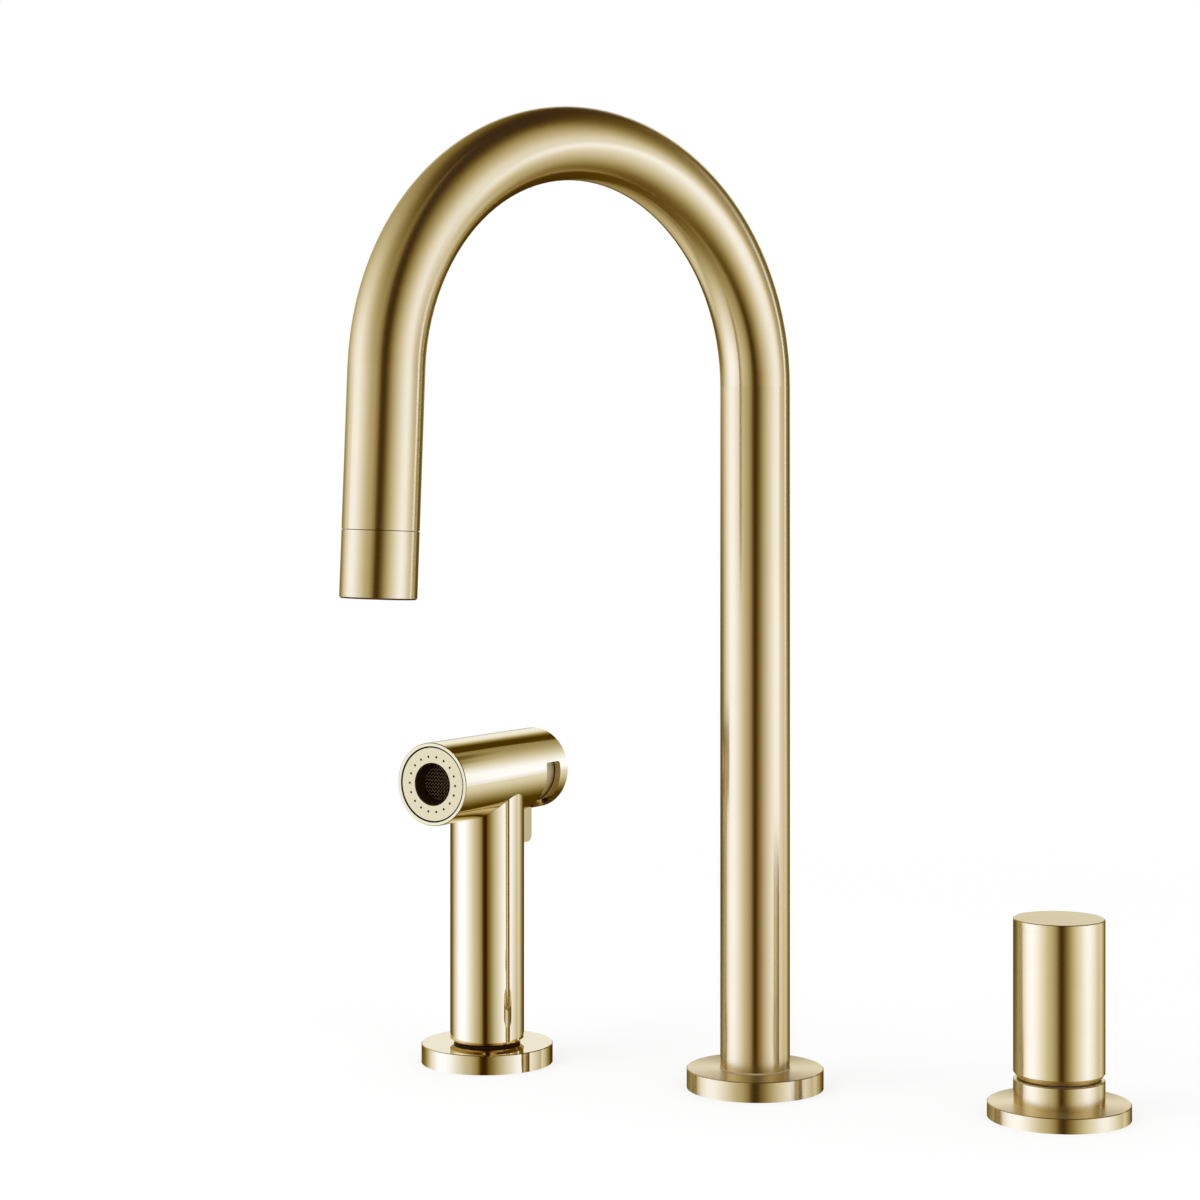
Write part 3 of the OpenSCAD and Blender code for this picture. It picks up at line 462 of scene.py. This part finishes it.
# Painted shade: the tab's gold is darker than the head's polished gold; its roughness is its finish
tab_gold_painted_shade = polished_gold("tab_gold_painted_shade", rough=0.2, base=(0.64, 0.53, 0.29))
raw_brass = plain_metal("raw_brass", (0.72, 0.58, 0.30), (0.60, 0.46, 0.22), rough=0.34)
steel = plain_metal("steel", (0.70, 0.68, 0.63), (0.58, 0.56, 0.52), rough=0.30)
wire_steel = plain_metal("wire_steel", (0.33, 0.23, 0.14), (0.19, 0.12, 0.06), rough=0.34,
                         scale=1500.0)
bright_ring = soft_plain("bright_ring", (0.50, 0.43, 0.28), (0.44, 0.37, 0.23), rough=0.3)
black_rubber = soft_plain("black_rubber", (0.045, 0.043, 0.04), (0.03, 0.03, 0.03), rough=0.7)
# Painted shade: black plastic made darker and less glossy than the rest, for the dock guide and the knob
# insert
lip_plastic_painted_shade = soft_plain("lip_plastic_painted_shade", (0.034, 0.011, 0.002), (0.024, 0.007, 0.001), rough=0.5,
                         scale=900.0, strength=0.08, specular=0.06)
mouth_plastic = soft_plain("mouth_plastic", (0.018, 0.007, 0.002), (0.012, 0.005, 0.001), rough=0.5,
                           scale=900.0, strength=0.08, specular=0.06)
black_plastic = soft_plain("black_plastic", (0.032, 0.022, 0.014), (0.022, 0.015, 0.009), rough=0.45,
                           scale=900.0, strength=0.08, specular=0.12)
white_plastic = soft_plain("white_plastic", (0.86, 0.85, 0.80), (0.80, 0.79, 0.74), rough=0.4)
ceramic = soft_plain("ceramic", (0.92, 0.91, 0.88), (0.88, 0.87, 0.83), rough=0.2,
                     scale=1500.0, strength=0.04)

# Which nodes each material goes on
NODES_OF = (
    (spout_gold, "spout_rosette"),
    (tube_gold, "spout_tube"),
    (sleeve_gold, "outlet_sleeve"),
    (control_gold_painted_light, "control_rosette control_collar"),
    (knob_gold_painted_light, "knob_shell"),
    (bright_gold, "spray_rosette spray_handle rear_cap"),
    (head_gold, "head_shell"),
    (face_gold, "face_plate"),
    (drum_gold_painted_light, "diverter_drum"),
    (tab_gold_painted_shade, "diverter_tab"),
    (bright_ring, "spout_glide_ring"),
    (wire_steel, "jet_screen"),
    (raw_brass, "threaded_shanks shank_nuts spout_post control_body cartridge_nut dock_base"
                " hose_swivel shaft_bulkhead"),
    (steel, "steel_washers spout_screw lever_pin control_lever knob_screw swivel_clip"
            " diverter_shaft drum_screw tab_screw"),
    (black_rubber, "rubber_washers deck_gaskets spout_orings aerator_seal swivel_seal bulkhead_seal"),
    (lip_plastic_painted_shade, "dock_guide knob_insert"),
    (mouth_plastic, "jet_sleeve"),
    (black_plastic, "aerator_body cartridge_base disc_driver cartridge_rotor handle_bush riser_tube"
                    " handle_top_bush nozzle_manifold"),
    (white_plastic, "spout_bushes cartridge_housing check_valve"),
    (ceramic, "fixed_disc moving_disc valve_disc"),
)
for material, names in NODES_OF:
    for name in names.split():
        nodes[name].data.materials.clear()
        nodes[name].data.materials.append(material)


# The woven screen in the jet's mouth, which is finer than the source's, in metres
SCREEN_PITCH = 0.00105
SCREEN_REACH = 0.0071
WIRE_R = 0.00021
WIRE_SIDES = 8
# How far a wire swings to pass over and under the others, in its own radii
WEAVE_LIFT = 0.95
STEPS_PER_PITCH = 6
STEPS_LEAST = 8
SCREEN_TURN = math.radians(45.0)
SCREEN_PLACE = -HEAD_FRONT + FACE_INSET + JET_DEPTH + SCREEN_HALF_T


def head_point(x, y, z):
    """From the head's own frame, with z back along the head and y down, to the row's frame."""
    down = Vector((0.0, 0.0, -1.0))
    right = down.cross(HEAD_BACK)
    return HEAD_AT + right * x + down * y + HEAD_BACK * z


def wire_ring(bm, centre, across):
    """One ring of points round a wire, turned with the whole screen."""
    cosine = math.cos(SCREEN_TURN)
    sine = math.sin(SCREEN_TURN)
    up = Vector((0, 0, 1))
    ring = []
    for j in range(WIRE_SIDES):
        angle = 2 * math.pi * j / WIRE_SIDES
        q = centre + across * (WIRE_R * math.cos(angle)) + up * (WIRE_R * math.sin(angle))
        turned_x = q.x * cosine - q.y * sine
        turned_y = q.x * sine + q.y * cosine
        ring.append(bm.verts.new(head_point(turned_x, turned_y, SCREEN_PLACE + q.z)))
    return ring


def screen_wire(bm, offset, half, crosswise, phase):
    """One wire, half long each way, that runs along x, or along y if crosswise."""
    steps = max(STEPS_LEAST, int(2 * half / SCREEN_PITCH * STEPS_PER_PITCH))
    along = Vector((0, 1, 0)) if crosswise else Vector((1, 0, 0))
    across = Vector((0, 0, 1)).cross(along)
    rings = []
    for k in range(steps + 1):
        u = -half + 2 * half * k / steps
        lift = math.cos(math.pi * u / SCREEN_PITCH) * WIRE_R * WEAVE_LIFT * phase
        centre = Vector((offset, u, lift)) if crosswise else Vector((u, offset, lift))
        rings.append(wire_ring(bm, centre, across))
    for a, b in zip(rings, rings[1:]):
        for j in range(WIRE_SIDES):
            after = (j + 1) % WIRE_SIDES
            bm.faces.new((a[j], a[after], b[after], b[j]))
    bm.faces.new(list(reversed(rings[0])))
    bm.faces.new(rings[-1])


def woven_screen():
    """Two families of wires that cross in a disc, each over one and under the next."""
    bm = bmesh.new()
    count = int(SCREEN_REACH / SCREEN_PITCH)
    for crosswise in (0, 1):
        for i in range(-count, count + 1):
            offset = i * SCREEN_PITCH
            half = math.sqrt(max(SCREEN_REACH * SCREEN_REACH - offset * offset, 0.0))
            if half >= SCREEN_PITCH:
                phase = 1 if (i + crosswise) % 2 else -1
                screen_wire(bm, offset, half, crosswise, phase)
    bmesh.ops.recalc_face_normals(bm, faces=bm.faces)
    mesh = bpy.data.meshes.new("woven_screen")
    bm.to_mesh(mesh)
    bm.free()
    for f in mesh.polygons:
        f.use_smooth = True
    obj = bpy.data.objects.new("woven_screen", mesh)
    bpy.context.scene.collection.objects.link(obj)
    obj.data.materials.append(wire_steel)
    return obj


screen = woven_screen()
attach(screen, "spray")
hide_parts("jet_screen")


# The studio is what the metal mirrors: a brightness for each direction. Its curves were set after the
# brightness that the metal has in the photograph, and changed until the renders looked alike.
# They are lists of points, x to y.
# "away" goes from 0, on the camera's side, to 1, behind the object. "turned" is away with a minus on
# the left, "across" is turned from 0 to 1, and "height" goes from 0, straight down, to 1, straight up,
# with the horizon at 0.5.

# Colour of the studio: brown where it is weak, and cool white where it is strong. The ramp ends at this
# brightness.
BRIGHTEST = 1.5
STUDIO_COLOURS = [
    (0.0, (0.012, 0.004, 0.0)), (0.033, (0.05, 0.021, 0.0)), (0.067, (0.10, 0.058, 0.003)),
    (0.10, (0.15, 0.10, 0.015)), (0.133, (0.20, 0.145, 0.04)), (0.20, (0.30, 0.245, 0.10)),
    (0.267, (0.40, 0.35, 0.19)), (0.367, (0.55, 0.51, 0.37)), (0.467, (0.70, 0.69, 0.60)),
    (0.567, (0.85, 0.87, 0.90)), (0.667, (1.0, 1.06, 1.27)), (0.80, (1.2, 1.36, 1.95)),
    (0.90, (1.35, 1.53, 2.3)), (1.0, (1.5, 1.68, 2.5)),
]

# Walls round the horizon by away, how they sink below it by height, and what is left of them
WALLS = [
    (0.0, 0.035), (0.024, 0.035), (0.04, 0.14), (0.085, 0.29), (0.165, 0.64), (0.24, 0.90),
    (0.32, 1.12), (0.41, 1.29), (0.50, 1.26), (0.56, 1.08), (0.62, 0.88), (0.68, 0.54),
    (0.74, 0.28), (0.80, 0.12), (1.0, 0.04),
]
SINK = [
    (0.0, 0.0), (0.075, 0.05), (0.125, 0.11), (0.175, 0.23), (0.225, 0.38), (0.275, 0.55),
    (0.325, 0.70), (0.375, 0.82), (0.42, 0.94), (0.44, 1.01), (0.465, 1.0), (0.49, 0.99),
    (0.51, 0.98), (1.0, 0.98),
]
WALLS_REST = 0.16
WALLS_LEAST = [(0.0, 0.03), (0.05, 0.10), (0.1, 0.16), (0.8, 0.14), (1.0, 0.05)]
# Shade on the right by turned, and where under the horizon it falls by height
SHADE = [(0.0, 1.0), (0.38, 1.0), (0.50, 0.79), (0.66, 0.72), (0.80, 0.60), (1.0, 1.0)]
SHADE_UNDER = [(0.0, 1.0), (0.43, 1.0), (0.487, 0.0), (1.0, 0.0)]

# The vault above the horizon, by across, with a wide light on the left and a narrow one on the right
VAULT = [
    (0.0, 0.10), (0.025, 0.25), (0.075, 0.48), (0.125, 0.69), (0.175, 0.95), (0.225, 1.14),
    (0.275, 1.20), (0.325, 0.98), (0.375, 0.71), (0.425, 0.48), (0.46, 0.20), (0.485, 0.09),
    (0.515, 0.045), (0.53, 0.06), (0.545, 0.17), (0.57, 0.39), (0.60, 0.62), (0.65, 0.92),
    (0.685, 1.08), (0.72, 1.13), (0.74, 1.03), (0.76, 0.70), (0.775, 0.54), (0.825, 0.32),
    (0.875, 0.24), (0.925, 0.12), (1.0, 0.08),
]
VAULT_REST = 0.03
# How it fades upwards on each side, by height, and which side counts, by across
FADE_LEFT = [
    (0.0, 1.0), (0.50, 1.0), (0.575, 0.95), (0.625, 0.84), (0.675, 0.70), (0.725, 0.56),
    (0.775, 0.42), (0.825, 0.26), (0.875, 0.10), (0.925, 0.03), (1.0, 0.0),
]
FADE_RIGHT = [
    (0.0, 1.0), (0.50, 1.0), (0.575, 0.90), (0.625, 0.74), (0.675, 0.60), (0.725, 0.46),
    (0.775, 0.32), (0.825, 0.14), (0.875, 0.04), (0.925, 0.01), (1.0, 0.0),
]
ON_THE_LEFT = [(0.0, 1.0), (0.42, 1.0), (0.56, 0.0), (0.98, 0.0), (1.0, 1.0)]
# The vault takes over from the walls at these heights
WALLS_TO_VAULT = [(0.0, 0.0), (0.48, 0.0), (0.525, 1.0), (1.0, 1.0)]
# A little more light near the camera, on the left, by away
NEAR_LEFT = [(0.0, 0.0), (0.04, 0.0), (0.065, 0.12), (0.12, 0.12), (0.18, 0.0), (1.0, 0.0)]

# A pale wall far behind, which the flat tops mirror, by away and by height
BACKDROP_AWAY = [(0.0, 0.0), (0.80, 0.0), (0.87, 0.15), (0.92, 0.8), (0.95, 1.0), (1.0, 1.0)]
BACKDROP_HEIGHT = [
    (0.0, 0.0), (0.485, 0.0), (0.52, 0.62), (0.545, 0.84), (0.572, 0.97), (0.60, 1.0),
    (0.63, 0.95), (0.648, 0.68), (0.664, 0.30), (0.680, 0.0), (1.0, 0.0),
]
BACKDROP_LEVEL = 1.02

# A slanted strip of light on the right: its slant by height, its width by turned less the slant, and
# its strength by height
STRIP_SLANT = [
    (0.0, 0.0), (0.56, 0.0), (0.60, 0.02), (0.64, 0.055), (0.672, 0.10), (0.69, 0.155), (1.0, 0.155),
]
STRIP_WIDTH = [(0.0, 0.0), (0.634, 0.0), (0.646, 1.0), (0.682, 1.0), (0.688, 0.0), (1.0, 0.0)]
STRIP_HEIGHT = [
    (0.0, 0.0), (0.455, 0.0), (0.48, 0.7), (0.505, 1.0), (0.56, 0.95), (0.60, 0.76), (0.64, 0.50),
    (0.672, 0.30), (0.69, 0.22), (0.70, 0.18), (0.72, 0.0), (1.0, 0.0),
]
STRIP_LEVEL = 1.25

# Pale ground behind, on the left by away and on the right by turned, each with its heights
GROUND_LEFT = [
    (0.0, 0.0), (0.60, 0.0), (0.68, 0.85), (0.75, 0.80), (0.85, 0.58), (0.95, 0.40), (1.0, 0.28),
]
GROUND_LEFT_HEIGHT = [
    (0.0, 0.0), (0.10, 0.15), (0.15, 0.45), (0.20, 0.65), (0.25, 0.85), (0.30, 1.0), (0.38, 1.0),
    (0.42, 0.7), (0.44, 0.0), (1.0, 0.0),
]
GROUND_RIGHT = [
    (0.0, 0.0), (0.62, 0.0), (0.645, 0.97), (0.66, 0.97), (0.673, 0.93), (0.704, 0.80),
    (0.749, 0.55), (0.805, 0.30), (0.86, 0.10), (1.0, 0.0),
]
GROUND_RIGHT_HEIGHT = [
    (0.0, 0.0), (0.29, 0.0), (0.311, 0.25), (0.329, 0.38), (0.361, 0.56), (0.40, 0.74),
    (0.425, 0.84), (0.45, 0.92), (0.47, 1.0), (0.49, 0.0), (1.0, 0.0),
]


def studio_level(t, azimuth, elevation):
    """Brightness of the studio in one direction. azimuth is from the camera's side, in radians."""
    turned = t.math("DIVIDE", t.math("WRAP", azimuth, math.pi, -math.pi), math.pi)
    away = t.math("ABSOLUTE", turned)
    left = t.below(turned, 0.0)
    across = t.plus(t.times(turned, 0.5), 0.5)
    height = t.plus(t.math("DIVIDE", elevation, math.pi), 0.5)

    walls = t.minus(t.level(away, WALLS), WALLS_REST)
    low = t.plus(t.times(walls, t.level(height, SINK)), WALLS_REST)
    low = t.most(low, t.level(away, WALLS_LEAST))
    shade = t.between(t.level(height, SHADE_UNDER), 1.0, t.level(turned, SHADE))
    low = t.times(low, shade)

    fade = t.between(t.level(across, ON_THE_LEFT), t.level(height, FADE_RIGHT), t.level(height, FADE_LEFT))
    high = t.plus(t.times(t.minus(t.level(across, VAULT), VAULT_REST), fade), VAULT_REST)
    level = t.between(t.level(height, WALLS_TO_VAULT), low, high)
    level = t.plus(level, t.times(left, t.level(away, NEAR_LEFT)))

    backdrop = t.times(t.level(away, BACKDROP_AWAY), t.level(height, BACKDROP_HEIGHT))
    level = t.between(backdrop, level, BACKDROP_LEVEL)
    slanted = t.minus(turned, t.level(height, STRIP_SLANT))
    strip = t.times(t.level(slanted, STRIP_WIDTH), t.level(height, STRIP_HEIGHT))
    level = t.between(strip, level, STRIP_LEVEL)

    ground_left = t.times(t.times(left, t.level(away, GROUND_LEFT)), t.level(height, GROUND_LEFT_HEIGHT))
    ground_right = t.times(t.level(turned, GROUND_RIGHT), t.level(height, GROUND_RIGHT_HEIGHT))
    return t.most(level, t.most(ground_left, ground_right))


def background(t, colour, strength):
    n = t.node("ShaderNodeBackground")
    t.put(n.inputs["Color"], colour)
    n.inputs["Strength"].default_value = strength
    return n.outputs[0]


# The world: metal mirrors the studio, everything else is lit by plain white, and the camera sees white
WHITE = (1.0, 1.0, 1.0, 1.0)
DAYLIGHT = 0.9


def studio_world():
    world = bpy.data.worlds.new("studio")
    world.use_nodes = True
    t = Tree(world.node_tree)
    dx, dy, dz = t.split(t.node("ShaderNodeTexCoord").outputs["Generated"])
    azimuth = t.minus(t.math("ARCTAN2", dy, dx), CAMERA_SIDE)
    brightness = studio_level(t, azimuth, t.math("ARCSINE", dz))
    colour = t.ramp(t.math("DIVIDE", brightness, BRIGHTEST), STUDIO_COLOURS, smooth=False)
    mirrored = background(t, colour, 1.0)
    ray = t.node("ShaderNodeLightPath").outputs
    lit = t.mix_shader(ray["Is Glossy Ray"], background(t, WHITE, DAYLIGHT), mirrored)
    seen = t.mix_shader(ray["Is Camera Ray"], lit, background(t, WHITE, 1.0))
    out = t.node("ShaderNodeOutputWorld")
    t.put(out.inputs["Surface"], seen)
    return world


bpy.context.scene.world = studio_world()

# The floor is the worktop's level. Far off it is as white as the background, and close by it keeps
# the shadow. Metal sees the lower half of the studio in its place.
FLOOR_R = 6.0
FLOOR_SIDES = 96
FLOOR_COLOUR = (0.9, 0.9, 0.9, 1.0)
# How far the floor turns white, by the distance from the origin over its radius
FLOOR_WHITE = [(0.0, 0.72), (0.05, 0.74), (0.16, 1.0), (1.0, 1.0)]


def floor_material():
    material, t = new_material("floor")
    place = t.split(t.node("ShaderNodeNewGeometry").outputs["Position"])
    distance = t.root_of_squares(place[0], place[1])
    matt = t.node("ShaderNodeBsdfDiffuse")
    matt.inputs["Color"].default_value = FLOOR_COLOUR
    glow = t.node("ShaderNodeEmission")
    glow.inputs["Color"].default_value = WHITE
    glow.inputs["Strength"].default_value = 1.0
    white_share = t.ramp(t.math("DIVIDE", distance, FLOOR_R), FLOOR_WHITE)
    shown = t.mix_shader(white_share, matt.outputs[0], glow.outputs[0])
    is_camera = t.node("ShaderNodeLightPath").outputs["Is Camera Ray"]
    out = t.node("ShaderNodeOutputMaterial")
    t.put(out.inputs["Surface"], t.mix_shader(is_camera, matt.outputs[0], shown))
    return material


bpy.ops.mesh.primitive_circle_add(vertices=FLOOR_SIDES, radius=FLOOR_R, fill_type="NGON",
                                  location=(0, 0, 0))
floor = bpy.context.object
floor.name = "floor"
floor.data.materials.append(floor_material())
floor.visible_glossy = False

# What both lamps point at
LAMP_TARGET = Vector((0, 0, 0.1))


def lamp(name, place, side, power):
    """A square lamp that shines on the object and isn't mirrored in it."""
    data = bpy.data.lights.new(name, "AREA")
    data.shape = "RECTANGLE"
    data.size = side
    data.size_y = side
    data.energy = power
    obj = bpy.data.objects.new(name, data)
    obj.location = place
    obj.rotation_euler = (LAMP_TARGET - Vector(place)).to_track_quat("-Z", "Y").to_euler()
    obj.visible_glossy = False
    bpy.context.scene.collection.objects.link(obj)


lamp("key", (-0.9, -1.2, 1.6), side=1.2, power=14.0)
lamp("fill", (1.5, -0.8, 1.0), side=1.2, power=6.0)


def photo_camera():
    data = bpy.data.cameras.new("camera")
    data.sensor_width = SENSOR_WIDTH
    data.sensor_fit = "HORIZONTAL"
    data.lens = LENS_PIXELS / FRAME_PIXELS * SENSOR_WIDTH
    data.shift_y = -(FRAME_PIXELS / 2 - HORIZON_ROW) / FRAME_PIXELS
    data.clip_start = NEAREST
    camera = bpy.data.objects.new("camera", data)
    camera.location = CAMERA_AT
    camera.rotation_euler = (math.pi / 2, 0.0, CAMERA_YAW)
    bpy.context.scene.collection.objects.link(camera)
    return camera


bpy.context.scene.camera = photo_camera()
bpy.context.scene.view_settings.view_transform = "Standard"
